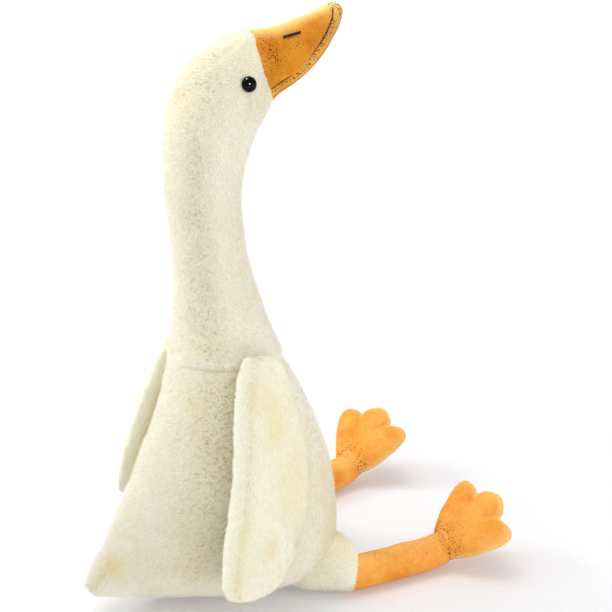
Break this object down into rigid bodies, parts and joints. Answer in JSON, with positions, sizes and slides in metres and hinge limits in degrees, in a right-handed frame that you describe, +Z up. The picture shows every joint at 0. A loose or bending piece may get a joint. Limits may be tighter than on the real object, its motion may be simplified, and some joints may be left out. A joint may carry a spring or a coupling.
{
  "type": "plush swan",
  "caption": "Sitting stuffed plush bird with a long upright neck, fur wings and thighs, and orange velour bill, legs and webbed feet.",
  "frame": {"origin": "on the flat of the seat where the swan rests on the floor, in the mid-plane, under the neck", "axes": "+Z up along the neck, -Y the way the swan faces and its legs point, so its right side is at -X"},
  "size_m": [0.2716, 0.3606, 0.4881],
  "materials": {
    "white_plush": "cream-white short pile plush, brushed down the body",
    "orange_velour": "orange short velour, soft and matte",
    "black_plastic": "polished black safety eye",
    "nylon_washer": "natural moulded nylon",
    "black_thread": "black embroidery thread"
  },
  "bodies": {
    "root": {"body": "white_plush", "bill": "orange_velour", "right_eye": "black_plastic", "left_eye": "black_plastic", "right_eye_washer": "nylon_washer", "left_eye_washer": "nylon_washer", "right_nostril": "black_thread", "left_nostril": "black_thread", "right_wing": "white_plush", "left_wing": "white_plush", "right_thigh": "white_plush", "left_thigh": "white_plush", "right_leg": "orange_velour", "left_leg": "orange_velour", "right_foot": "orange_velour", "left_foot": "orange_velour"}
  },
  "joints": []
}
